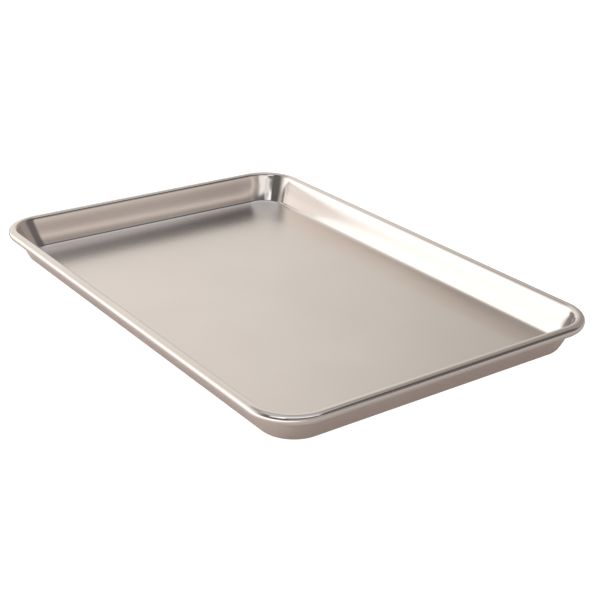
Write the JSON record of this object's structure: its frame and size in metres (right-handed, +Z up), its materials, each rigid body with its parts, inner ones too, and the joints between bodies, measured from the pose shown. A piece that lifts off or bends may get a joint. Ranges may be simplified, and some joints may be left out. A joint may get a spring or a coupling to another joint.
{
  "type": "jelly roll pan",
  "caption": "Shallow rectangular baking pan of bare aluminium with flared walls, rounded corners and a rim rolled outward over a steel rod.",
  "frame": {"origin": "centre of the flat base, on the surface that the pan stands on", "axes": "+X along the pan's length, +Y across its width, +Z up out of the pan's mouth"},
  "size_m": [0.4, 0.275, 0.025],
  "materials": {
    "pan_sheet": "bare, satin",
    "rim_rod": "galvanised"
  },
  "bodies": {
    "root": {"pan_body": "pan_sheet", "rim_wire": "rim_rod"}
  },
  "joints": []
}
